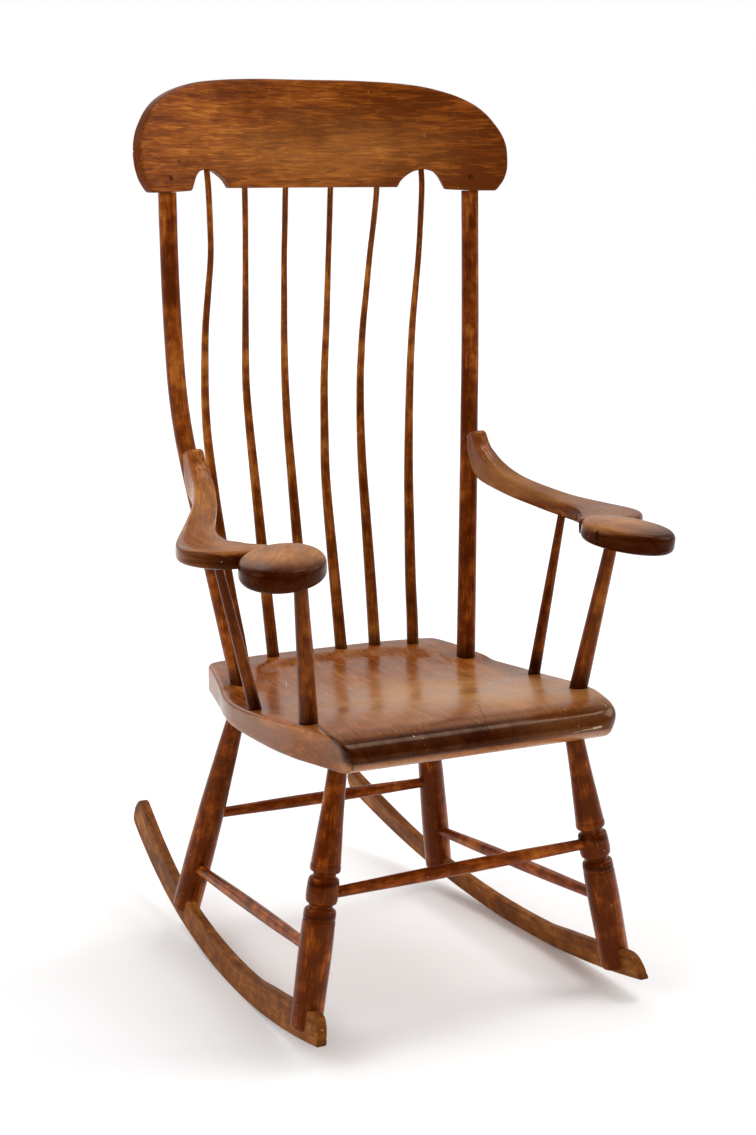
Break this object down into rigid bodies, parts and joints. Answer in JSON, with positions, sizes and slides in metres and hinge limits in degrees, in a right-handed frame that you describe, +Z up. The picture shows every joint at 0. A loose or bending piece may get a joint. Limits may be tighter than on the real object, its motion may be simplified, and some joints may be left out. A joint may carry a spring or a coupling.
{
  "type": "boston rocking chair",
  "caption": "Wooden rocking chair with a scooped seat with a rolled front, bent back spindles under a curved crest rail, shaped arms, turned front legs and slim rockers.",
  "frame": {"origin": "middle of the footprint on the floor, under the middle of the whole chair's box", "axes": "+Z up, the sitter faces -Y, +X to the right in a view from the front"},
  "size_m": [0.614, 0.7224, 1.11],
  "materials": {
    "seat_stain": "satin",
    "crest_stain": "satin",
    "arm_stain": "satin",
    "turned_stain": "satin",
    "spindle_stain": "satin",
    "rocker_stain": "worn satin",
    "peg_stain": "matte"
  },
  "bodies": {
    "root": {"back_spindle_1": "spindle_stain", "back_spindle_2": "spindle_stain", "back_spindle_3": "spindle_stain", "back_spindle_4": "spindle_stain", "back_spindle_5": "spindle_stain", "back_spindle_6": "spindle_stain", "back_post_left": "turned_stain", "crest_peg_left": "peg_stain", "arm_left": "arm_stain", "arm_post_left": "turned_stain", "arm_spindle_left": "turned_stain", "rocker_left": "rocker_stain", "side_stretcher_left": "turned_stain", "front_foot_peg_left": "peg_stain", "rear_foot_peg_left": "peg_stain", "front_leg_left": "turned_stain", "rear_leg_left": "turned_stain", "back_post_right": "turned_stain", "crest_peg_right": "peg_stain", "arm_right": "arm_stain", "arm_post_right": "turned_stain", "arm_spindle_right": "turned_stain", "rocker_right": "rocker_stain", "side_stretcher_right": "turned_stain", "front_foot_peg_right": "peg_stain", "rear_foot_peg_right": "peg_stain", "front_leg_right": "turned_stain", "rear_leg_right": "turned_stain", "front_stretcher": "turned_stain", "rear_stretcher": "turned_stain", "seat": "seat_stain", "crest_rail": "crest_stain"}
  },
  "joints": []
}
